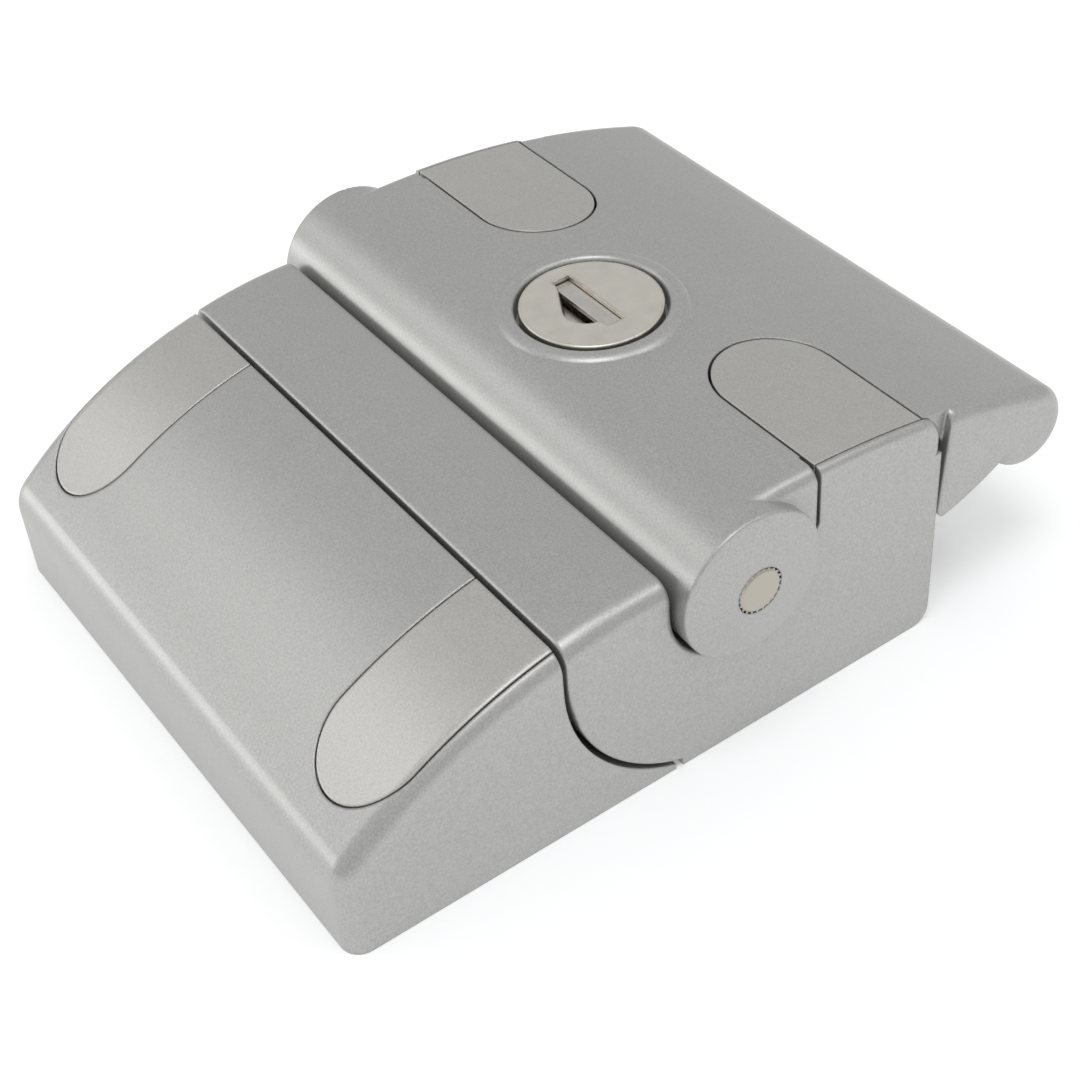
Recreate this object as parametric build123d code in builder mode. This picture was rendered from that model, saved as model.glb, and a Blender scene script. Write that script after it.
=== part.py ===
from build123d import *
import math
import os

os.makedirs("parts", exist_ok=True)

# A keyed lever latch for a window, millimetres, +Z away from the window, +X towards the finger lip.
# The origin is on the mounting plane, in the middle of the overall length and width.

# ---- overall ----
half_width = 32.5        # both castings reach this far either side of the middle
toe_x = -41.25           # front wall of the keeper
heel_x = 24.85           # back wall of the base
cover_thickness = 1.2    # the four push-on screw covers
edge_round = 1.5         # rounding along the sides of the base and lever
keeper_round = 2.0       # rounding along the sides of the keeper and the strip
column_round = 0.9       # smaller rounding along the outer side of the base's columns
toe_round = 4.0

# ---- hinge ----
pin_x = 1.6
pin_z = 19.4
pin_r = 2.25
barrel_r = 7.6
cradle_r = 7.95
disc_end = 33.9          # rim of the barrel's end discs, which stand proud of the sides
disc_crown = 0.9         # and are slightly domed
pin_end = 34.8
pin_inner_end = 9.6
lug_y = 19.5             # middle of each base lug
lug_thickness = 5.0
lug_r = 4.2
bush_r = 3.1
bush_bore_r = pin_r + 0.05

# ---- lever ----
plate_top_z = pin_z + barrel_r
plate_bend_x = 5.75      # the flat part of the plate ends here
plate_r = 98.0           # long curve of the plate towards the lip
plate_thickness = 2.6
lip_x = 36.95
lip_r = 4.3
web_tip_x = 25.2
web_tip_z = 13.0

# ---- base ----
nose_x = 0.9
nose_z = 17.8
nose_r = 18.3
nose_end_x = -5.5
strip_left_z = 22.05
strip_top_z = 22.95
column_x = 10.25
cheek = 0.85
cavity_x = 7.2
cavity_floor_z = 3.0
back_wall_x = 22.5
back_wall_top_z = 19.5
lock_gap_x = 0.5         # the middle of the cradle is open from here on
lock_gap_y = 15.9
lock_gap_z = 9.0

# ---- screw covers and fixing holes ----
base_cover_r = 6.3
base_cover_x = 16.55
base_cover_y = 19.55
base_hole_y = 22.0
keeper_cover_r = 5.6
keeper_cover_x = -32.1
keeper_cover_y = 25.55
keeper_hole_x = -30.2
screw_r = 2.25
screw_head_r = 3.9
screw_seat_z = 3.6

# ---- keeper ----
keeper_arc_x = 0.4
keeper_arc_z = 17.6
keeper_arc_r = 18.3
keeper_tip_x = -6.3
keeper_top_z = 21.75
keeper_curve_r = 46.0
toe_wall_z = 9.75
bar_x = -19.9
bar_z = 18.4
bar_r = 1.5
bar_half_length = 17.5
mouth_left_x = -23.0
set_screw_y = 16.4
set_screw_r = 1.3

# ---- claws ----
claw_y = 12.0
claw_thickness = 4.6
claw_slot = 5.6
claw_tip_x = -18.8
claw_tip_z = 15.3
claw_tip_r = 1.7
claw_foot_x = 10.2
claw_screw_x = 8.0

# ---- lock ----
lock_x = 9.6
plug_head_r = 7.1
plug_head_thickness = 1.9
plug_top_z = 27.25
plug_r = 5.8
lock_bore_r = 7.5
collar_r = 9.2
collar_bottom_z = 18.0
ring_top_z = 27.35
ring_top_r = 8.9
ring_foot_r = 10.5
housing_bottom_z = 13.5
cam_top_z = 12.9
cam_thickness = 1.7
cam_reach = 10.5
slot_length = 9.2
slot_width = 2.0
slot_y = 0.6             # the slot sits a little off the lock's centre
shutter_depth = 0.55
shutter_thickness = 0.5

sides = {"near": -1, "far": 1}


def finish(piece, name):
    """Label one finished piece and write it to its own file."""
    piece.part.label = name
    export_step(piece.part, f"parts/{name}.step")


def plate_z(x):
    """Height of the lever plate's top surface at a distance along the latch."""
    run = max(0.0, x - plate_bend_x)
    return plate_top_z - plate_r + math.sqrt(plate_r**2 - run**2)


def cover_outline(plane, centre_x, centre_y, radius, straight_x=None, straight_y=None):
    """A U: a half round at one end, straight at the other, which lies on straight_x or straight_y."""
    with BuildSketch(plane) as outline:
        with Locations((centre_x, centre_y)):
            Circle(radius)
        if straight_x is not None:
            with Locations(((centre_x + straight_x) / 2, centre_y)):
                Rectangle(abs(straight_x - centre_x), 2 * radius)
        else:
            with Locations((centre_x, (centre_y + straight_y) / 2)):
                Rectangle(2 * radius, abs(straight_y - centre_y))
    return outline.sketch


def skin_of(block, outline, thickness):
    """The top layer of a block inside an outline, as a solid of even height."""
    with BuildPart() as layer:
        add(block)
        extrude(outline, amount=60, mode=Mode.INTERSECT)
        add(block.moved(Location((0, 0, -thickness))), mode=Mode.SUBTRACT)
    return layer.part


# ======================= keeper =======================

keeper_top_right = (keeper_arc_x - keeper_arc_r, keeper_top_z)
keeper_tip_z = keeper_arc_z - math.sqrt(keeper_arc_r**2 - (keeper_arc_x - keeper_tip_x) ** 2)
mouth_angle = math.radians(225)

with BuildPart() as keeper_block:
    with BuildSketch(Plane.XZ):
        with BuildLine():
            wall = Line((toe_x, 0), (toe_x, toe_wall_z))
            crown = RadiusArc(wall @ 1, keeper_top_right, keeper_curve_r)
            drop = Line(crown @ 1, (keeper_top_right[0], keeper_arc_z))
            seat = ThreePointArc(
                drop @ 1,
                (
                    keeper_arc_x + keeper_arc_r * math.cos(mouth_angle),
                    keeper_arc_z + keeper_arc_r * math.sin(mouth_angle),
                ),
                (keeper_tip_x, keeper_tip_z),
            )
            Polyline(seat @ 1, (keeper_tip_x, 0), (toe_x, 0))
        make_face()
    extrude(amount=half_width, both=True)
    toe_edge = keeper_block.edges().filter_by(
        lambda e: abs(e.center().X - toe_x) < 0.02
        and abs(e.center().Z - toe_wall_z) < 0.02
        and abs(e.center().Y) < 1
    )
    fillet(toe_edge, toe_round)
    for side in sides.values():
        shoulder = keeper_block.edges().filter_by(
            lambda e: abs(e.center().Y - side * half_width) < 0.01
            and e.center().X < keeper_top_right[0] - 1
            and e.center().Z > 1
        )
        fillet(shoulder, keeper_round)

keeper_outer = keeper_block.part


def keeper_cover_outline(side, clearance):
    """Outline of a keeper screw cover, running from the gap edge to its round end by the toe."""
    return cover_outline(
        Plane.XY,
        keeper_cover_x,
        side * keeper_cover_y,
        keeper_cover_r + clearance,
        straight_x=keeper_top_right[0],
    )


keeper_recesses = [
    skin_of(keeper_outer, keeper_cover_outline(side, 0.18), cover_thickness + 0.05)
    for side in sides.values()
]

rib_pitch = 9.2
rib_cell = 7.5

with BuildPart() as keeper_pockets:
    with BuildSketch(Plane.XY.offset(-1)):
        with Locations((-35.2, 0), (-27.2, 0)):
            with GridLocations(0, rib_pitch, 1, 4):
                Rectangle(6.2, rib_cell)
    extrude(amount=30)
    add(keeper_outer.moved(Location((0, 0, -2.4))), mode=Mode.INTERSECT)

with BuildPart() as keeper_casting:
    add(keeper_outer)
    for recess in keeper_recesses:
        add(recess, mode=Mode.SUBTRACT)
    add(keeper_pockets.part, mode=Mode.SUBTRACT)
    for side in sides.values():
        # countersunk well for a fixing screw, under each cover
        with BuildSketch(Plane.XY.offset(screw_seat_z)):
            with Locations((keeper_hole_x, side * keeper_cover_y)):
                Circle(screw_head_r)
        extrude(amount=25, mode=Mode.SUBTRACT)
        with BuildSketch(Plane.XY):
            with Locations((keeper_hole_x, side * keeper_cover_y)):
                Circle(screw_r)
        extrude(amount=screw_seat_z, mode=Mode.SUBTRACT)
        # mouth through the concave face, where a claw reaches the striker bar
        with BuildSketch(Plane.XZ.offset(-side * claw_y)):
            with Locations(((mouth_left_x + 0) / 2, (bar_z + bar_r + 0.15) / 2 - 0.5)):
                Rectangle(-mouth_left_x, bar_z + bar_r + 1.15)
        extrude(amount=claw_slot / 2 + 0.1, both=True, mode=Mode.SUBTRACT)
    # bore of the striker bar, blind at both ends
    with BuildSketch(Plane.XZ):
        with Locations((bar_x, bar_z)):
            Circle(bar_r)
    extrude(amount=bar_half_length, both=True, mode=Mode.SUBTRACT)
    # tapped holes of the set screws that hold the bar, from below
    with BuildSketch(Plane.XY):
        with Locations((bar_x, set_screw_y), (bar_x, -set_screw_y)):
            Circle(set_screw_r + 0.05)
    extrude(amount=bar_z - bar_r * 0.5, mode=Mode.SUBTRACT)
finish(keeper_casting, "keeper_casting")

for word, side in sides.items():
    cover_layer = skin_of(keeper_outer, keeper_cover_outline(side, 0), cover_thickness)
    with BuildPart() as keeper_cap:
        # spigot under the cover, in the mouth of the screw's well
        with BuildSketch(Plane.XY.offset(11.0)):
            with Locations((keeper_hole_x, side * keeper_cover_y)):
                Circle(screw_head_r - 0.1)
                Circle(screw_head_r - 1.1, mode=Mode.SUBTRACT)
        extrude(amount=10.0)
        add(keeper_outer.moved(Location((0, 0, -cover_thickness / 2))), mode=Mode.INTERSECT)
        add(cover_layer)
    finish(keeper_cap, f"keeper_cap_{word}")

with BuildPart() as striker_bar:
    with BuildSketch(Plane.XZ):
        with Locations((bar_x, bar_z)):
            Circle(bar_r)
    extrude(amount=bar_half_length - 0.1, both=True)
    chamfer(striker_bar.edges().filter_by(GeomType.CIRCLE), 0.25)
finish(striker_bar, "striker_bar")

with BuildPart() as striker_set_screws:
    for side in sides.values():
        with BuildSketch(Plane.XY.offset(bar_z - bar_r - 5.05)):
            with Locations((bar_x, side * set_screw_y)):
                Circle(set_screw_r)
        extrude(amount=5.0)
        with BuildSketch(Plane.XY.offset(bar_z - bar_r - 5.05)):
            with Locations((bar_x, side * set_screw_y)):
                RegularPolygon(0.75, 6)
        extrude(amount=1.4, mode=Mode.SUBTRACT)
finish(striker_set_screws, "striker_set_screws")

# ======================= base =======================

nose_end_z = nose_z - math.sqrt(nose_r**2 - (nose_x - nose_end_x) ** 2)
cradle_left_x = pin_x - cradle_r
cradle_exit = math.radians(-45)
cradle_exit_point = (pin_x + cradle_r * math.cos(cradle_exit), pin_z + cradle_r * math.sin(cradle_exit))

with BuildPart() as base_block:
    # nose, top strip, cradle, floor and back wall
    with BuildSketch(Plane.XZ):
        with BuildLine():
            step = Line((nose_end_x, 0), (nose_end_x, nose_end_z))
            nose = ThreePointArc(
                step @ 1,
                (nose_x + nose_r * math.cos(mouth_angle), nose_z + nose_r * math.sin(mouth_angle)),
                (nose_x - nose_r, nose_z),
            )
            face = Line(nose @ 1, (nose_x - nose_r, strip_left_z))
            strip = ThreePointArc(face @ 1, (-11.6, strip_top_z - 0.1), (cradle_left_x, strip_top_z))
            wall = Line(strip @ 1, (cradle_left_x, pin_z))
            cradle = ThreePointArc(wall @ 1, (pin_x, pin_z - cradle_r), cradle_exit_point)
            Polyline(
                cradle @ 1,
                (cradle_exit_point[0], cavity_floor_z),
                (back_wall_x, cavity_floor_z),
                (back_wall_x, back_wall_top_z),
                (heel_x, back_wall_top_z),
                (heel_x, 0),
                (nose_end_x, 0),
            )
        make_face()
    extrude(amount=half_width, both=True)
    # the ends of the top strip are rounded over, then its long edge beside the barrel
    strip_ends = base_block.edges().filter_by(
        lambda e: abs(abs(e.center().Y) - half_width) < 0.01
        and e.center().Z > strip_left_z
        and e.center().X < 0
    )
    fillet(strip_ends, keeper_round)
    strip_edge = base_block.edges().filter_by(
        lambda e: abs(e.center().X - cradle_left_x) < 0.02
        and abs(e.center().Z - strip_top_z) < 0.02
        and abs(e.center().Y) < 1
    )
    fillet(strip_edge, 0.5)
    gap_edge = base_block.edges().filter_by(
        lambda e: abs(e.center().X - (nose_x - nose_r)) < 0.02
        and abs(e.center().Z - strip_left_z) < 0.1
        and abs(e.center().Y) < 1
    )
    fillet(gap_edge, 0.3)
    heel_edge = base_block.edges().filter_by(
        lambda e: abs(e.center().X - heel_x) < 0.02 and abs(e.center().Z) < 0.02
    )
    fillet(heel_edge, 2.0)

with BuildPart() as column_block:
    # the shape the columns are cut from: it follows the lever plate's top and is rounded like it
    with BuildSketch(Plane.XZ):
        with BuildLine():
            left = Line((column_x, 2.5), (column_x, plate_z(column_x)))
            top = ThreePointArc(left @ 1, (17.5, plate_z(17.5)), (heel_x, plate_z(heel_x)))
            Polyline(top @ 1, (heel_x, 2.5), (column_x, 2.5))
        make_face()
    extrude(amount=half_width, both=True)
    column_corner = column_block.edges().filter_by(
        lambda e: abs(e.center().X - heel_x) < 0.02 and e.center().Z > 20 and abs(e.center().Y) < 1
    )
    fillet(column_corner, 2.8)
    column_sides = column_block.edges().filter_by(
        lambda e: abs(abs(e.center().Y) - half_width) < 0.01
        and e.center().Z > 23
        and e.center().X > column_x + 1
    )
    fillet(column_sides, column_round)


def base_cover_outline(side, clearance):
    """Outline of a base screw cover: straight along the side, round towards the middle."""
    return cover_outline(
        Plane.XY,
        base_cover_x,
        side * base_cover_y,
        base_cover_r + clearance,
        straight_y=side * (half_width - cheek - 0.15 + clearance),
    )


columns = column_block.part
lowered_columns = columns.moved(Location((0, 0, -cover_thickness)))

with BuildPart() as base_posts:
    add(lowered_columns)
    with BuildSketch(Plane.XY):
        for side in sides.values():
            add(base_cover_outline(side, 0))
            with Locations((base_cover_x, side * (half_width - cheek))):
                Rectangle(2 * base_cover_r, 2 * cheek)
    extrude(amount=40, mode=Mode.INTERSECT)

with BuildPart() as base_cheeks:
    add(columns)
    with BuildSketch(Plane.XZ):
        # webs beside the barrel, from the cradle to the columns
        with BuildLine():
            rise = ThreePointArc(
                cradle_exit_point,
                (
                    pin_x + cradle_r * math.cos(cradle_exit / 2),
                    pin_z + cradle_r * math.sin(cradle_exit / 2),
                ),
                (pin_x + cradle_r, pin_z),
            )
            Polyline(
                rise @ 1,
                (column_x, pin_z + 1.4),
                (column_x + 0.5, 2.5),
                (cradle_exit_point[0] - 0.5, 2.5),
                cradle_exit_point,
            )
        make_face()
    extrude(amount=half_width, both=True)
    with BuildSketch(Plane.XZ):
        with Locations((10, 15)):
            Rectangle(60, 60)
    extrude(amount=half_width - cheek, both=True, mode=Mode.SUBTRACT)

with BuildPart() as base_casting:
    add(base_block.part)
    add(base_posts.part)
    add(base_cheeks.part)
    for side in sides.values():
        # lug that carries a pivot bush
        with BuildSketch(Plane.XZ.offset(-side * lug_y)):
            with Locations((pin_x, pin_z)):
                Circle(lug_r)
            with Locations((pin_x, (pin_z + 8) / 2)):
                Rectangle(2 * lug_r, pin_z - 8)
        extrude(amount=lug_thickness / 2, both=True)
        with BuildSketch(Plane.XZ.offset(-side * lug_y)):
            with Locations((pin_x, pin_z)):
                Circle(bush_r)
        extrude(amount=lug_thickness, both=True, mode=Mode.SUBTRACT)
        # slot of a claw, through the nose and open below
        with BuildSketch(Plane.XZ.offset(-side * claw_y)):
            with Locations(((-18 + 2.5) / 2, (20.2 - 1) / 2)):
                Rectangle(20.5, 21.2)
        extrude(amount=claw_slot / 2, both=True, mode=Mode.SUBTRACT)
        # well and hole of a fixing screw
        with BuildSketch(Plane.XY.offset(screw_seat_z)):
            with Locations((base_cover_x, side * base_hole_y)):
                Circle(screw_head_r)
        extrude(amount=30, mode=Mode.SUBTRACT)
        with BuildSketch(Plane.XY):
            with Locations((base_cover_x, side * base_hole_y)):
                Circle(screw_r)
        extrude(amount=screw_seat_z, mode=Mode.SUBTRACT)
    # the back wall is a little higher behind the columns
    with BuildSketch(Plane.XY.offset(back_wall_top_z - 1)):
        for side in sides.values():
            with Locations(((back_wall_x + heel_x) / 2, side * (half_width - 2.5))):
                Rectangle(heel_x - back_wall_x, 5.0)
    extrude(amount=2.7)
    # ledge that the lock's cam swings under
    with BuildSketch(Plane.XZ):
        with Locations(((18.3 + back_wall_x + 0.5) / 2, 14.8)):
            Rectangle(back_wall_x + 0.5 - 18.3, 3.0)
    extrude(amount=6.0, both=True)
    # the middle of the cradle is cut away for the lock and its cam
    with BuildSketch(Plane.XZ):
        with Locations(((lock_gap_x + cavity_x + 0.5) / 2, lock_gap_z + 6)):
            Rectangle(cavity_x + 0.5 - lock_gap_x, 12)
    extrude(amount=lock_gap_y, both=True, mode=Mode.SUBTRACT)
    # weight-saving cells under the cradle
    with BuildSketch(Plane.XY.offset(-1)):
        for side in sides.values():
            with Locations((-0.3, side * 20.4), (-0.3, side * 28.2)):
                Rectangle(7.0, 6.0)
    extrude(amount=9.5, mode=Mode.SUBTRACT)
finish(base_casting, "base_casting")

for word, side in sides.items():
    cover_layer = skin_of(columns, base_cover_outline(side, 0), cover_thickness)
    with BuildPart() as base_cap:
        add(cover_layer)
        with BuildSketch(Plane.XY.offset(20.0)):
            with Locations((base_cover_x, side * base_hole_y)):
                Circle(screw_head_r - 0.1)
                Circle(screw_head_r - 1.1, mode=Mode.SUBTRACT)
        extrude(amount=5.2)
    finish(base_cap, f"base_cap_{word}")

for word, side in sides.items():
    with BuildPart() as pivot_bush:
        with BuildSketch(Plane.XZ.offset(-side * lug_y)):
            with Locations((pin_x, pin_z)):
                Circle(bush_r)
                Circle(bush_bore_r, mode=Mode.SUBTRACT)
        extrude(amount=lug_thickness / 2, both=True)
    finish(pivot_bush, f"pivot_bush_{word}")

with BuildPart() as lever_bumpers:
    with BuildSketch(Plane.XY.offset(back_wall_top_z)):
        with Locations(((back_wall_x + heel_x) / 2, 8), ((back_wall_x + heel_x) / 2, -8)):
            RectangleRounded(1.6, 9.0, 0.7)
    extrude(amount=2.6)
finish(lever_bumpers, "lever_bumpers")

# ======================= lever =======================

plate_centre_z = plate_top_z - plate_r
lip_z = plate_centre_z + math.sqrt((plate_r - lip_r) ** 2 - (lip_x - plate_bend_x) ** 2)
lip_reach = plate_r / (plate_r - lip_r)
lip_start = (
    plate_bend_x + (lip_x - plate_bend_x) * lip_reach,
    plate_centre_z + (lip_z - plate_centre_z) * lip_reach,
)
lip_end_angle = math.radians(202)
lip_end = (lip_x + lip_r * math.cos(lip_end_angle), lip_z + lip_r * math.sin(lip_end_angle))
lip_low_angle = math.radians(300)
lip_low = (lip_x + lip_r * math.cos(lip_low_angle), lip_z + lip_r * math.sin(lip_low_angle))
plate_mid = (22.0, plate_z(22.0))
under_r = plate_r - plate_thickness
under_x = web_tip_x + 0.75
under_z = plate_centre_z + math.sqrt(under_r**2 - (under_x - plate_bend_x) ** 2)
under_mid_x = 16.0
under_mid_z = plate_centre_z + math.sqrt(under_r**2 - (under_mid_x - plate_bend_x) ** 2)

with BuildPart() as lever_block:
    with BuildSketch(Plane.XZ):
        with BuildLine():
            flat = Line((pin_x, plate_top_z), (plate_bend_x, plate_top_z))
            plate = ThreePointArc(flat @ 1, plate_mid, lip_start)
            lip = ThreePointArc(plate @ 1, lip_low, lip_end)
            scoop = ThreePointArc(lip @ 1, (29.6, 14.15), (web_tip_x + 1.0, web_tip_z))
            tip = ThreePointArc(
                scoop @ 1, (web_tip_x + 0.25, web_tip_z + 0.1), (web_tip_x, web_tip_z + 0.8)
            )
            web = Line(tip @ 1, (under_x, under_z))
            under = ThreePointArc(
                web @ 1, (under_mid_x, under_mid_z), (plate_bend_x, plate_top_z - plate_thickness)
            )
            Polyline(under @ 1, (pin_x, plate_top_z - plate_thickness), (pin_x, plate_top_z))
        make_face()
    extrude(amount=half_width, both=True)
    # the plate's long sides are rounded over; the rounding runs out round the lip
    plate_sides = lever_block.edges().filter_by(
        lambda e: abs(abs(e.center().Y) - half_width) < 0.01
        and e.center().Z > plate_top_z - plate_thickness + 0.2
        and e.length > plate_thickness + 0.5
    )
    fillet(plate_sides, edge_round)
    # soft inside corner between the plate and the web
    web_corner = lever_block.edges().filter_by(
        lambda e: abs(e.center().Y) < 1
        and abs(e.center().X - under_x) < 0.05
        and abs(e.center().Z - under_z) < 0.05
    )
    fillet(web_corner, 1.5)

dome_r = barrel_r - 0.25
column_gap = 0.28
notch_x = base_cover_x - base_cover_r - column_gap

with BuildPart() as lever_casting:
    add(lever_block.part)
    # barrel, with end discs that stand proud of the sides
    with BuildSketch(Plane.XZ):
        with Locations((pin_x, pin_z)):
            Circle(barrel_r)
    extrude(amount=disc_end, both=True)
    disc_rims = lever_casting.edges().filter_by(
        lambda e: abs(abs(e.center().Y) - disc_end) < 0.01
    )
    fillet(disc_rims, 0.25)
    for side in sides.values():
        # shallow dome on each disc
        with BuildSketch(Plane.XY.offset(pin_z)):
            with BuildLine():
                crown = ThreePointArc(
                    (pin_x - dome_r, side * (disc_end - 0.02)),
                    (pin_x, side * (disc_end + disc_crown)),
                    (pin_x + dome_r, side * (disc_end - 0.02)),
                )
                Line(crown @ 1, crown @ 0)
            make_face()
            with Locations((pin_x - dome_r, side * disc_end)):
                Rectangle(2 * dome_r, 6, mode=Mode.SUBTRACT)
        revolve(axis=Axis((pin_x, 0, pin_z), (0, 1, 0)))
    # square shoulder between the barrel and the plate, behind which the columns stand
    with BuildSketch(Plane.XZ):
        with BuildLine():
            Polyline(
                (pin_x, pin_z),
                (pin_x + barrel_r - 0.02, pin_z),
                (notch_x, pin_z + 1.2),
                (notch_x + 0.6, pin_z + 1.8),
                (notch_x + 0.6, plate_top_z - 1.8),
                (pin_x, plate_top_z - 1.8),
                (pin_x, pin_z),
            )
        make_face()
    extrude(amount=half_width, both=True)
    # collar round the lock, under the plate
    with BuildSketch(Plane.XY.offset(collar_bottom_z)):
        with Locations((lock_x, 0)):
            Circle(collar_r)
    extrude(amount=plate_z(lock_x + collar_r) - collar_bottom_z - 0.5)
    # low level ring round the lock face, standing out of the sloping plate
    with BuildSketch(Plane.XZ):
        with BuildLine():
            ring_top = Line((lock_x, ring_top_z), (lock_x + ring_top_r - 0.6, ring_top_z))
            brow = RadiusArc(ring_top @ 1, (lock_x + ring_top_r + 0.6, ring_top_z - 0.6), 1.5)
            Polyline(
                brow @ 1, (lock_x + ring_foot_r, 25.4), (lock_x, 25.4), (lock_x, ring_top_z)
            )
        make_face()
    revolve(axis=Axis((lock_x, 0, 0), (0, 0, 1)))
    # bore of the lock, open through the barrel
    with BuildSketch(Plane.XY.offset(5)):
        with Locations((lock_x, 0)):
            Circle(lock_bore_r)
    extrude(amount=30, mode=Mode.SUBTRACT)
    lock_rim = lever_casting.edges().filter_by(GeomType.CIRCLE).filter_by(
        lambda e: abs(e.center().Z - ring_top_z) < 0.01 and abs(e.radius - lock_bore_r) < 0.01
    )
    fillet(lock_rim, 0.6)
    for side in sides.values():
        # U-shaped notch in the plate round a column of the base
        with BuildSketch(Plane.XY.offset(18)):
            add(
                cover_outline(
                    Plane.XY,
                    base_cover_x,
                    side * base_cover_y,
                    base_cover_r + column_gap,
                    straight_y=side * 34,
                )
            )
        extrude(amount=14, mode=Mode.SUBTRACT)
        # its far side is undercut, so that it swings clear over the cover's edge
        with BuildSketch(Plane.XY.offset(18)):
            with Locations((base_cover_x, side * base_cover_y)):
                Circle(base_cover_r + column_gap + 0.8)
            with Locations((base_cover_x, side * (base_cover_y + 34) / 2)):
                Rectangle(2 * (base_cover_r + column_gap + 0.8), 34 - base_cover_y)
            with Locations((base_cover_x - 10, side * 25)):
                Rectangle(20, 40, mode=Mode.SUBTRACT)
        extrude(amount=6.7, mode=Mode.SUBTRACT)
        # beside the thin side wall the notch runs on to the web's inner face
        with BuildSketch(Plane.XZ.offset(-side * (half_width + 2))):
            with BuildLine():
                Polyline(
                    (notch_x, 10),
                    (web_tip_x, 10),
                    (web_tip_x, web_tip_z + 0.8),
                    (under_x, under_z),
                    (2 * under_x - web_tip_x, 2 * under_z - web_tip_z - 0.8),
                    (notch_x, 2 * under_z - web_tip_z - 0.8),
                    (notch_x, 10),
                )
            make_face()
        extrude(amount=side * (cheek + 0.25 + 2), mode=Mode.SUBTRACT)
        # and is a little wider beside the barrel
        with BuildSketch(Plane.XY.offset(10)):
            with Locations((notch_x, side * (half_width + 2 - 2.6 / 2))):
                Rectangle(0.35, 4 + 2.6)
        extrude(amount=22, mode=Mode.SUBTRACT)
        # room for the base's lug inside the barrel
        with BuildSketch(Plane.XZ.offset(-side * lug_y)):
            with Locations((pin_x, pin_z)):
                Circle(lug_r + 0.4)
            # the lug's way through the barrel while the lever swings
            with BuildLine():
                Polyline(
                    (pin_x + 4.6, pin_z),
                    (pin_x + 4.6, pin_z - 13),
                    (pin_x - 6, pin_z - 13),
                    (pin_x - 12, pin_z - 5.5),
                    (pin_x - 3.25, pin_z + 3.25),
                    (pin_x + 4.6, pin_z),
                )
            make_face()
        extrude(amount=lug_thickness / 2 + 0.5, both=True, mode=Mode.SUBTRACT)
        # seat of a claw inside the barrel
        with BuildSketch(Plane.XZ.offset(-side * claw_y)):
            with Locations((pin_x, pin_z)):
                Circle(5.2)
            with Locations((pin_x + 1, pin_z + 1.5 - 7)):
                Rectangle(22, 14)
        extrude(amount=claw_thickness / 2 + 0.15, both=True, mode=Mode.SUBTRACT)
        with BuildSketch(Plane.XY.offset(pin_z)):
            with Locations((claw_screw_x, side * claw_y)):
                Circle(1.5)
        extrude(amount=5.6, mode=Mode.SUBTRACT)
        # bore of the stub pin, a little wider at its mouth
        with BuildSketch(Plane.XZ.offset(-side * (pin_end + 0.1))):
            with Locations((pin_x, pin_z)):
                Circle(pin_r)
        extrude(amount=side * (pin_end - pin_inner_end + 0.5), mode=Mode.SUBTRACT)
        with BuildSketch(Plane.XZ.offset(-side * (pin_end + 0.1))):
            with Locations((pin_x, pin_z)):
                Circle(pin_r + 0.16)
        extrude(amount=side * 1.3, mode=Mode.SUBTRACT)
    # softer outer edge on the web, beside each column
    slot_edges = lever_casting.edges().filter_by(
        lambda e: abs(abs(e.center().Y) - half_width) < 0.02
        and web_tip_x - 0.05 < e.center().X < under_x + 0.3
        and web_tip_z + 0.9 < e.center().Z < under_z + 2
        and e.length > 2
    )
    fillet(slot_edges, 0.45)
    # flat milled round the lock's retaining clip
    with BuildSketch(Plane.XY.offset(5)):
        with Locations((lock_x, 0)):
            Circle(collar_r + 0.2)
    extrude(amount=collar_bottom_z - 5, mode=Mode.SUBTRACT)
finish(lever_casting, "lever_casting")

for word, side in sides.items():
    with BuildPart() as hinge_pin:
        with BuildSketch(Plane.XZ.offset(-side * pin_end)):
            with Locations((pin_x, pin_z)):
                Circle(pin_r)
        extrude(amount=side * (pin_end - pin_inner_end))
        chamfer(hinge_pin.edges().filter_by(GeomType.CIRCLE), 0.2)
        # knurled end
        with BuildSketch(Plane.XZ.offset(-side * (pin_end - 0.1))):
            with Locations((pin_x, pin_z)):
                with PolarLocations(pin_r, 22):
                    Circle(0.12)
        extrude(amount=side * 1.0)
    finish(hinge_pin, f"hinge_pin_{word}")

for word, side in sides.items():
    with BuildPart() as latch_claw:
        with BuildSketch(Plane.XZ.offset(-side * claw_y)):
            with BuildSketch(Plane.XZ.offset(-side * claw_y), mode=Mode.PRIVATE) as arm:
                with Locations((-1.5, 18.0)):
                    Circle(2.6)
                with Locations((claw_tip_x, claw_tip_z)):
                    Circle(claw_tip_r)
                make_hull()
            add(arm.sketch_local)
            with Locations((pin_x, pin_z)):
                Circle(4.3)
            with Locations(((pin_x + claw_foot_x) / 2, 18.9)):
                Rectangle(claw_foot_x - pin_x, 3.8)
            with Locations((pin_x, pin_z)):
                Circle(pin_r + 0.02, mode=Mode.SUBTRACT)
        extrude(amount=claw_thickness / 2, both=True)
        with BuildSketch(Plane.XY.offset(16)):
            with Locations((claw_screw_x, side * claw_y)):
                Circle(1.5)
        extrude(amount=6, mode=Mode.SUBTRACT)
    finish(latch_claw, f"latch_claw_{word}")

with BuildPart() as claw_screws:
    for side in sides.values():
        with BuildSketch(Plane.XY.offset(14.6)):
            with Locations((claw_screw_x, side * claw_y)):
                Circle(2.0)
        extrude(amount=2.4)
        with BuildSketch(Plane.XY.offset(14.6)):
            with Locations((claw_screw_x, side * claw_y)):
                RegularPolygon(1.25, 6)
        extrude(amount=1.3, mode=Mode.SUBTRACT)
        with BuildSketch(Plane.XY.offset(17.0)):
            with Locations((claw_screw_x, side * claw_y)):
                Circle(1.45)
        extrude(amount=7.6)
finish(claw_screws, "claw_screws")

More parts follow.
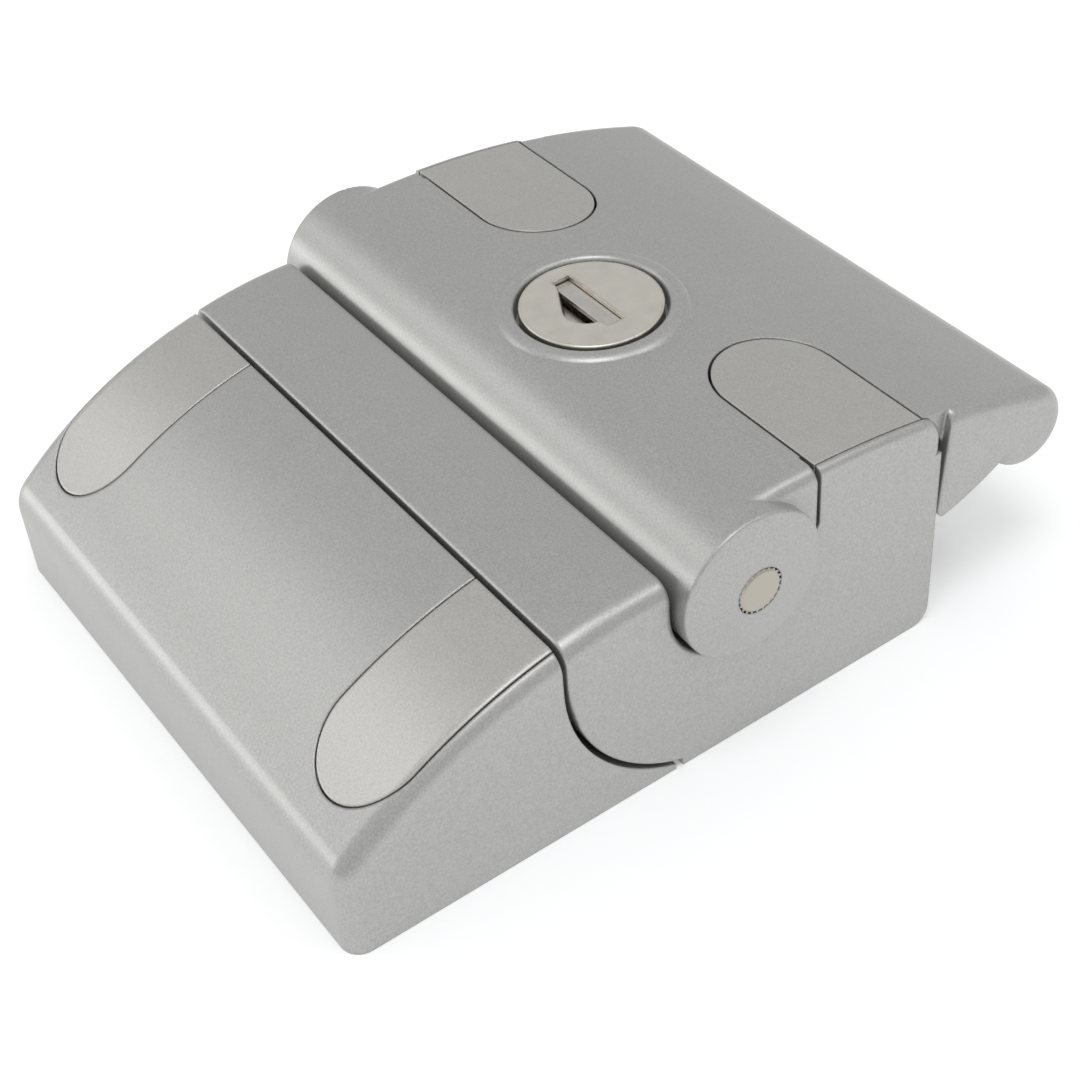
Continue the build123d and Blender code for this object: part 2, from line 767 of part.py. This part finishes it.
# ======================= lock =======================

head_bottom_z = plug_top_z - plug_head_thickness
housing_top_z = head_bottom_z - 0.1
clip_z = collar_bottom_z - 0.9

with BuildPart() as lock_housing:
    with BuildSketch(Plane.XY.offset(housing_bottom_z)):
        with Locations((lock_x, 0)):
            Circle(lock_bore_r)
            Circle(plug_r + 0.05, mode=Mode.SUBTRACT)
    extrude(amount=housing_top_z - housing_bottom_z)
    # groove for the retaining clip
    with BuildSketch(Plane.XY.offset(clip_z)):
        with Locations((lock_x, 0)):
            Circle(lock_bore_r + 1)
            Circle(lock_bore_r - 0.6, mode=Mode.SUBTRACT)
    extrude(amount=0.8, mode=Mode.SUBTRACT)
finish(lock_housing, "lock_housing")

with BuildPart() as lock_clip:
    with BuildSketch(Plane.XY.offset(clip_z + 0.05)):
        with Locations((lock_x, 0)):
            Circle(lock_bore_r + 1.0)
            Circle(lock_bore_r - 0.6, mode=Mode.SUBTRACT)
        with Locations((lock_x - 6, 0)):
            Rectangle(12, 8, mode=Mode.SUBTRACT)
    extrude(amount=0.7)
finish(lock_clip, "lock_clip")

slot_wall_x = lock_x + slot_width / 2
shutter_top_z = plug_top_z - shutter_depth
shutter_axis = (slot_wall_x + 0.35, shutter_top_z - shutter_thickness / 2)
wafer_zs = [16.0 + 1.7 * i for i in range(4)]

with BuildPart() as lock_plug:
    with BuildSketch(Plane.XY.offset(head_bottom_z)):
        with Locations((lock_x, 0)):
            Circle(plug_head_r)
    extrude(amount=plug_head_thickness)
    fillet(lock_plug.edges().group_by(Axis.Z)[-1], 0.2)
    with BuildSketch(Plane.XY.offset(cam_top_z + 0.02)):
        with Locations((lock_x, 0)):
            Circle(plug_r)
    extrude(amount=head_bottom_z - cam_top_z - 0.02)
    # square on the end for the cam
    with BuildSketch(Plane.XY.offset(cam_top_z - cam_thickness)):
        with Locations((lock_x, 0)):
            Rectangle(4.4, 4.4)
    extrude(amount=cam_thickness + 0.02)
    # key slot
    with BuildSketch(Plane.XY.offset(plug_top_z - 9)):
        with Locations((lock_x, slot_y)):
            Rectangle(slot_width, slot_length)
    extrude(amount=10, mode=Mode.SUBTRACT)
    # room under the face for the shutter to fold away
    with BuildSketch(Plane.XY.offset(plug_top_z - 3.9)):
        with Locations((slot_wall_x + 0.35, slot_y)):
            Rectangle(0.7 + 0.9, slot_length)
    extrude(amount=3.9 - shutter_depth + 0.08, mode=Mode.SUBTRACT)
    # half-round relief beside the slot
    with BuildSketch(Plane.XY.offset(plug_top_z)):
        with Locations((lock_x - 0.8, slot_y - 1.1)):
            Circle(2.5)
        with Locations((lock_x - 0.9, slot_y + 3.3)):
            Circle(0.3)
        make_hull()
        with Locations((lock_x + 4.0, 0)):
            Rectangle(8.0, 12, mode=Mode.SUBTRACT)
    extrude(amount=-1.8, taper=12, mode=Mode.SUBTRACT)
    # wafer slots and the tapped hole of the cam screw
    for z in wafer_zs:
        with BuildSketch(Plane.XY.offset(z)):
            with Locations((lock_x, slot_y)):
                Rectangle(3.6, 9.4)
        extrude(amount=1.0, mode=Mode.SUBTRACT)
    with BuildSketch(Plane.XY.offset(cam_top_z - cam_thickness)):
        with Locations((lock_x, 0)):
            Circle(1.25)
    extrude(amount=4.6, mode=Mode.SUBTRACT)
    # pivot holes of the shutter
    with BuildSketch(Plane.XZ.offset(-slot_y)):
        with Locations(shutter_axis):
            Circle(0.3)
    extrude(amount=slot_length / 2 + 0.6, both=True, mode=Mode.SUBTRACT)
finish(lock_plug, "lock_plug")

with BuildPart() as lock_wafers:
    for z in wafer_zs:
        with BuildSketch(Plane.XY.offset(z + 0.1)):
            with Locations((lock_x, slot_y)):
                Rectangle(3.4, 9.2)
                Rectangle(1.8, 7.0, mode=Mode.SUBTRACT)
        extrude(amount=0.8)
finish(lock_wafers, "lock_wafers")

with BuildPart() as keyway_shutter:
    with BuildSketch(Plane.XZ.offset(-slot_y)):
        with Locations(shutter_axis):
            Circle(0.32)
        with Locations(((shutter_axis[0] + lock_x - slot_width / 2 + 0.12) / 2, shutter_axis[1])):
            Rectangle(shutter_axis[0] - (lock_x - slot_width / 2 + 0.12), shutter_thickness)
        with Locations(shutter_axis):
            Circle(0.24, mode=Mode.SUBTRACT)
    extrude(amount=slot_length / 2 - 0.15, both=True)
finish(keyway_shutter, "keyway_shutter")

with BuildPart() as shutter_pin:
    with BuildSketch(Plane.XZ.offset(-slot_y)):
        with Locations(shutter_axis):
            Circle(0.2)
    extrude(amount=slot_length / 2 + 0.5, both=True)
finish(shutter_pin, "shutter_pin")

with BuildPart() as lock_cam:
    with BuildSketch(Plane.XY.offset(cam_top_z - cam_thickness)):
        with Locations((lock_x, 0)):
            Circle(3.6)
        with Locations((lock_x, (cam_reach - 1.5) / 2)):
            Rectangle(5.0, cam_reach - 1.5)
        with Locations((lock_x, cam_reach - 2.5)):
            Circle(2.5)
        with Locations((lock_x, 0)):
            Rectangle(4.5, 4.5, mode=Mode.SUBTRACT)
    extrude(amount=cam_thickness)
finish(lock_cam, "lock_cam")

with BuildPart() as cam_washer:
    with BuildSketch(Plane.XY.offset(cam_top_z - cam_thickness - 0.6)):
        with Locations((lock_x, 0)):
            Circle(3.0)
            Circle(1.6, mode=Mode.SUBTRACT)
    extrude(amount=0.6)
finish(cam_washer, "cam_washer")

with BuildPart() as cam_screw:
    with BuildSketch(Plane.XY.offset(cam_top_z - cam_thickness - 2.2)):
        with Locations((lock_x, 0)):
            Circle(2.4)
    extrude(amount=1.6)
    fillet(cam_screw.edges().group_by(Axis.Z)[0], 0.5)
    with BuildSketch(Plane.XY.offset(cam_top_z - cam_thickness - 2.2)):
        with Locations((lock_x, 0)):
            Rectangle(3.2, 0.6)
            Rectangle(0.6, 3.2)
    extrude(amount=0.9, mode=Mode.SUBTRACT)
    with BuildSketch(Plane.XY.offset(cam_top_z - cam_thickness - 0.6)):
        with Locations((lock_x, 0)):
            Circle(1.2)
    extrude(amount=4.6)
finish(cam_screw, "cam_screw")
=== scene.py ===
import math

import bpy
from mathutils import Matrix, Vector

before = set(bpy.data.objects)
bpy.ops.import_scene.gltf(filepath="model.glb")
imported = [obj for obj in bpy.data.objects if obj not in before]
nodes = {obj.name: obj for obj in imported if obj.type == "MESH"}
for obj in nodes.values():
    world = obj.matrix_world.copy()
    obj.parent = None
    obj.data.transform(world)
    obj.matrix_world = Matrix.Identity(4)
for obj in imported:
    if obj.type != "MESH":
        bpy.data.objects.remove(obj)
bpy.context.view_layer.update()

# Lengths are in metres, and a noise's scale is in cells per metre.
NOISE_LOW = 0.3                      # a noise's value mostly lies between these two
NOISE_HIGH = 0.7
RELIEF_DEPTH = 0.00002               # fine relief of paint and metal
MOULDED_RELIEF_DEPTH = 0.00003       # fine relief of plastic and rubber
METAL_EDGE_RADIUS = 0.00012          # rounding over the edges, in the shading alone
MOULDED_EDGE_RADIUS = 0.00015
TARNISH_REACH = 0.0007               # how far tarnish spreads from an edge
FACE_COSINE = 0.99                   # of the angle between a face and its rounded normal, on a face
EDGE_COSINE = 0.7                    # and on a sharp edge

# the lacquer's lighter edge colour stands for worn paint and also for a painted highlight along the edges
WORN_PAINT_AND_PAINTED_HIGHLIGHT = (0.78, 0.78, 0.77, 1.0)
RUBBED_METAL = (0.9, 0.89, 0.86, 1.0)
TARNISH = (0.27, 0.20, 0.13, 1.0)
DUST = (0.45, 0.44, 0.42, 1.0)
RUBBED_PLASTIC = (0.35, 0.35, 0.35, 1.0)

# the Mix node's colour sockets go by number, as its float and vector sockets share their names
MIX_FACTOR = 0
MIX_A = 6
MIX_B = 7
MIX_RESULT = 2


# ---------------------------------------------------------------- materials
class Graph:
    """A small helper round a material's node tree."""

    def __init__(self, name):
        self.material = bpy.data.materials.new(name)
        self.material.use_nodes = True
        self.tree = self.material.node_tree
        self.shader = self.tree.nodes["Principled BSDF"]
        self.place = self.tree.nodes.new("ShaderNodeTexCoord").outputs["Object"]

    def new(self, kind, **settings):
        node = self.tree.nodes.new(kind)
        for key, value in settings.items():
            setattr(node, key, value)
        return node

    def wire(self, out, into):
        self.tree.links.new(out, into)

    def put(self, node, socket, value):
        """Wires another node's output into a socket, or sets a plain value there."""
        if hasattr(value, "is_output"):
            self.wire(value, node.inputs[socket])
        else:
            node.inputs[socket].default_value = value

    def noise(self, scale, detail=2.0, roughness=0.5, where=None):
        node = self.new("ShaderNodeTexNoise")
        node.inputs["Scale"].default_value = scale
        node.inputs["Detail"].default_value = detail
        node.inputs["Roughness"].default_value = roughness
        self.wire(where or self.place, node.inputs["Vector"])
        return node.outputs["Fac"]

    def fit(self, value, low, high, to_low, to_high):
        """Stretches the range low to high over to_low to to_high, and cuts it off there."""
        node = self.new("ShaderNodeMapRange")
        self.wire(value, node.inputs["Value"])
        node.inputs["From Min"].default_value = low
        node.inputs["From Max"].default_value = high
        node.inputs["To Min"].default_value = to_low
        node.inputs["To Max"].default_value = to_high
        return node.outputs["Result"]

    def spread(self, noise, to_low, to_high):
        """Stretches a noise's usual range over to_low to to_high."""
        return self.fit(noise, NOISE_LOW, NOISE_HIGH, to_low, to_high)

    def maths(self, operation, a, b, clamp=False):
        node = self.new("ShaderNodeMath", operation=operation, use_clamp=clamp)
        self.put(node, 0, a)
        self.put(node, 1, b)
        return node.outputs["Value"]

    def mix(self, factor, a, b):
        """Colour a turning into colour b as the factor goes from 0 to 1."""
        node = self.new("ShaderNodeMix", data_type="RGBA", blend_type="MIX")
        self.put(node, MIX_FACTOR, factor)
        self.put(node, MIX_A, a)
        self.put(node, MIX_B, b)
        return node.outputs[MIX_RESULT]

    def tint(self, colour, gain):
        """A colour brightened or darkened by a grey factor."""
        node = self.new("ShaderNodeVectorMath", operation="SCALE")
        self.put(node, 0, colour)
        self.wire(gain, node.inputs["Scale"])
        return node.outputs["Vector"]

    def edges(self, radius, samples=6):
        """1 on sharp edges, fading to 0 on faces; and the normal rounded over those edges."""
        bevel = self.new("ShaderNodeBevel", samples=samples)
        bevel.inputs["Radius"].default_value = radius
        flat = self.new("ShaderNodeNewGeometry").outputs["Normal"]
        dot = self.new("ShaderNodeVectorMath", operation="DOT_PRODUCT")
        self.wire(bevel.outputs["Normal"], dot.inputs[0])
        self.wire(flat, dot.inputs[1])
        return self.fit(dot.outputs["Value"], FACE_COSINE, EDGE_COSINE, 0.0, 1.0), bevel.outputs["Normal"]

    def bump(self, height, strength, distance, normal):
        node = self.new("ShaderNodeBump")
        node.inputs["Strength"].default_value = strength
        node.inputs["Distance"].default_value = distance
        self.wire(height, node.inputs["Height"])
        self.wire(normal, node.inputs["Normal"])
        return node.outputs["Normal"]

    def set(self, **values):
        """Fills the shader's sockets, whose names have underscores for spaces."""
        for key, value in values.items():
            self.put(self.shader, key.replace("_", " "), value)


def paint(name, colour, flake, rough, edge_radius, metallic=0.72):
    """Fine-grained metallic lacquer: flakes, a faint orange peel, and bright edges that are partly worn
    paint and partly a painted highlight.
    """
    g = Graph(name)
    flakes = g.noise(5400, detail=2.0, roughness=0.75)
    cloud = g.noise(420, detail=3.0)
    drift = g.noise(38, detail=2.0)
    cloud_share = 0.012
    drift_share = 0.012
    rough_flake = 0.03
    rough_cloud = 0.015
    gain = g.maths(
        "ADD",
        g.spread(flakes, 1 - flake, 1 + flake),
        g.spread(cloud, -cloud_share, cloud_share),
    )
    gain = g.maths("ADD", gain, g.fit(drift, low=0.35, high=0.65, to_low=-drift_share, to_high=drift_share))
    # edges lightened in patches: partly worn paint, partly a painted highlight
    edge_wear_and_highlight, rounded = g.edges(edge_radius)
    wear_and_highlight_noise = g.noise(1500, detail=4.0, roughness=0.7)
    wear_and_highlight_patches = g.fit(wear_and_highlight_noise, low=0.48, high=0.6, to_low=0.0, to_high=0.3)
    worn_and_highlit = g.maths("MULTIPLY", edge_wear_and_highlight, wear_and_highlight_patches, clamp=True)
    base = g.tint(colour, gain)
    g.set(Base_Color=g.mix(worn_and_highlit, base, WORN_PAINT_AND_PAINTED_HIGHLIGHT))
    g.set(Metallic=metallic)
    roughness = g.maths(
        "ADD",
        g.spread(flakes, rough - rough_flake, rough + rough_flake),
        g.spread(cloud, -rough_cloud, rough_cloud),
    )
    g.set(Roughness=roughness)
    peel = g.maths(
        "ADD",
        g.maths("MULTIPLY", flakes, 0.35),
        g.maths("MULTIPLY", g.noise(2200, detail=2.0), 0.65),
    )
    g.set(Normal=g.bump(peel, strength=0.25, distance=RELIEF_DEPTH, normal=rounded))
    return g.material


def metal(name, colour, rough=0.3, scratch=0.15, stain=0.08, brushed=(1.0, 1.0, 1.0), tarnish=0.0):
    """Bare or plated metal: fine scratches, stains, bright rubbed edges, and brown tarnish near them."""
    g = Graph(name)
    lines = g.new("ShaderNodeMapping")
    lines.inputs["Scale"].default_value = brushed
    g.wire(g.place, lines.inputs["Vector"])
    fine = g.noise(5200, detail=3.0, roughness=0.7, where=lines.outputs["Vector"])
    haze = g.noise(520, detail=4.0, roughness=0.6)
    gain = g.maths(
        "ADD",
        g.spread(fine, 1 - scratch / 3, 1 + scratch / 3),
        g.spread(haze, -stain, stain / 2),
    )
    rim, rounded = g.edges(METAL_EDGE_RADIUS)
    base = g.tint(colour, gain)
    if tarnish:
        near_edge, _ = g.edges(TARNISH_REACH, samples=8)
        patches = g.fit(g.noise(700, detail=3.0), low=0.35, high=0.65, to_low=0.2, to_high=1.0)
        browned = g.maths("MULTIPLY", near_edge, patches)
        base = g.mix(g.maths("MULTIPLY", browned, tarnish), base, TARNISH)
    g.set(Base_Color=g.mix(g.maths("MULTIPLY", rim, 0.35), base, RUBBED_METAL))
    g.set(Metallic=1.0)
    roughness = g.maths(
        "ADD",
        g.spread(fine, rough - scratch / 2, rough + scratch / 2),
        g.spread(haze, -0.04, 0.06),
    )
    g.set(Roughness=roughness)
    g.set(Normal=g.bump(fine, strength=scratch, distance=RELIEF_DEPTH, normal=rounded))
    return g.material


def moulded(name, colour, rough, sheen=0.0):
    """Moulded plastic or rubber: fine grain, a little dust in the colour."""
    g = Graph(name)
    fine = g.noise(3000, detail=3.0, roughness=0.6)
    dust = g.noise(300, detail=4.0, roughness=0.6)
    rim, rounded = g.edges(MOULDED_EDGE_RADIUS)
    base = g.tint(colour, g.spread(fine, 0.9, 1.12))
    base = g.mix(g.fit(dust, low=0.5, high=0.75, to_low=0.0, to_high=0.12), base, DUST)
    g.set(Base_Color=g.mix(g.maths("MULTIPLY", rim, 0.2), base, RUBBED_PLASTIC))
    g.set(Roughness=g.spread(fine, rough - 0.06, rough + 0.08))
    g.set(Sheen_Weight=sheen)
    g.set(Normal=g.bump(fine, strength=0.3, distance=MOULDED_RELIEF_DEPTH, normal=rounded))
    return g.material


def dress(node, material):
    """Gives a CAD node's object one material in all its slots."""
    for slot in nodes[node].material_slots:
        slot.material = material


casting = paint("silver_lacquer", (0.438, 0.438, 0.424), flake=0.15, rough=0.38, edge_radius=0.00035)
cover = paint(
    "silver_lacquer_covers", (0.500, 0.495, 0.474), flake=0.13, rough=0.37, edge_radius=0.0003, metallic=0.8
)
nickel = metal("satin_nickel", (0.70, 0.675, 0.612), rough=0.36, scratch=0.08, stain=0.055, tarnish=0.85)
steel = metal("bright_steel", (0.60, 0.59, 0.57), rough=0.32, scratch=0.25, brushed=(1.0, 0.06, 1.0))
zinc = metal("bare_zinc", (0.52, 0.52, 0.54), rough=0.5, stain=0.12)
brass = metal("plain_brass", (0.72, 0.55, 0.28), rough=0.32, stain=0.1)
spring = metal("oiled_spring_steel", (0.33, 0.33, 0.35), rough=0.28)
bush = moulded("bearing_plastic", (0.05, 0.05, 0.055), rough=0.45)
rubber = moulded("soft_rubber", (0.03, 0.03, 0.03), rough=0.75, sheen=0.1)
# a darker copy of the satin nickel for the hinge pins: painted shade, because the pins face the side and
# catch the bright floor
nickel_pins_with_painted_shade = metal(
    "nickel_pins_with_painted_shade", (0.47, 0.445, 0.39), rough=0.36, scratch=0.1, stain=0.04, tarnish=0.4
)
shutter_nickel = metal("shutter_nickel", (0.62, 0.60, 0.57), rough=0.35)

finishes = {
    casting: ["keeper_casting", "base_casting", "lever_casting"],
    cover: ["keeper_cap_near", "keeper_cap_far", "base_cap_near", "base_cap_far"],
    nickel: ["lock_plug"],
    nickel_pins_with_painted_shade: ["hinge_pin_near", "hinge_pin_far"],
    steel: [
        "striker_bar",
        "striker_set_screws",
        "latch_claw_near",
        "latch_claw_far",
        "claw_screws",
        "lock_cam",
        "cam_washer",
        "cam_screw",
    ],
    zinc: ["lock_housing"],
    brass: ["lock_wafers"],
    spring: ["lock_clip", "shutter_pin"],
    bush: ["pivot_bush_near", "pivot_bush_far"],
    rubber: ["lever_bumpers"],
    shutter_nickel: ["keyway_shutter"],
}
for material, names in finishes.items():
    for name in names:
        dress(name, material)

# ---------------------------------------------------------------- floor
FLOOR_SIZE = 6.0
FLOOR_DROP = 0.00002                 # keeps the floor just clear of the castings' flat feet

bpy.ops.mesh.primitive_plane_add(size=FLOOR_SIZE, location=(0, 0, -FLOOR_DROP))
floor = bpy.context.object
floor.name = "studio_floor"
ground = Graph("pale_floor")
mottle = ground.spread(ground.noise(9, detail=3.0), 0.99, 1.01)
ground.set(Base_Color=ground.tint((0.92, 0.92, 0.92), mottle))
ground.set(Roughness=0.9)
ground.set(Emission_Color=(0.98, 0.98, 1.0, 1.0), Emission_Strength=0.21)
floor.data.materials.append(ground.material)

# ---------------------------------------------------------------- light
LIGHT_AIM = Vector((0, 0, 0.01))


def softbox(name, place, width, height, power, colour=(1, 1, 1)):
    """A rectangular light, in watts, that faces the object."""
    data = bpy.data.lights.new(name, "AREA")
    data.shape = "RECTANGLE"
    data.size = width
    data.size_y = height
    data.energy = power
    data.color = colour
    lamp = bpy.data.objects.new(name, data)
    bpy.context.scene.collection.objects.link(lamp)
    lamp.location = place
    lamp.rotation_euler = (LIGHT_AIM - Vector(place)).to_track_quat("-Z", "Y").to_euler()


softbox("softbox_low_left", (-0.55, 0.50, 0.09), width=0.40, height=0.12, power=0.52)
softbox("softbox_back_left", (-0.42, 0.46, 0.46), width=0.44, height=0.34, power=0.42)
softbox(
    "softbox_front_right", (0.34, -0.27, 0.68), width=0.24, height=0.20, power=0.5, colour=(0.95, 0.98, 1.0)
)
softbox(
    "softbox_overhead", (-0.11, -0.15, 0.75), width=0.30, height=0.30, power=1.5, colour=(0.97, 0.98, 1.0)
)

world = bpy.data.worlds.new("studio")
bpy.context.scene.world = world
world.use_nodes = True
backdrop = world.node_tree.nodes["Background"]
backdrop.inputs["Color"].default_value = (1.0, 1.0, 1.0, 1.0)
backdrop.inputs["Strength"].default_value = 0.66

# ---------------------------------------------------------------- camera
EYE = Vector((-0.08099, -0.13058, 0.13970))
AIM = Vector((-0.003755, -0.008371, 0.010))
ROLL = math.radians(-4.778)
LENS_MM = 67.05
SENSOR_MM = 36.0
NEAREST_SEEN = 0.005

camera_data = bpy.data.cameras.new("camera")
camera_data.lens = LENS_MM
camera_data.sensor_width = SENSOR_MM
camera_data.clip_start = NEAREST_SEEN
camera = bpy.data.objects.new("camera", camera_data)
bpy.context.scene.collection.objects.link(camera)
level = (AIM - EYE).to_track_quat("-Z", "Y").to_matrix().to_4x4()
camera.matrix_world = Matrix.Translation(EYE) @ level @ Matrix.Rotation(ROLL, 4, "Z")
bpy.context.scene.camera = camera
bpy.context.scene.view_settings.view_transform = "Standard"
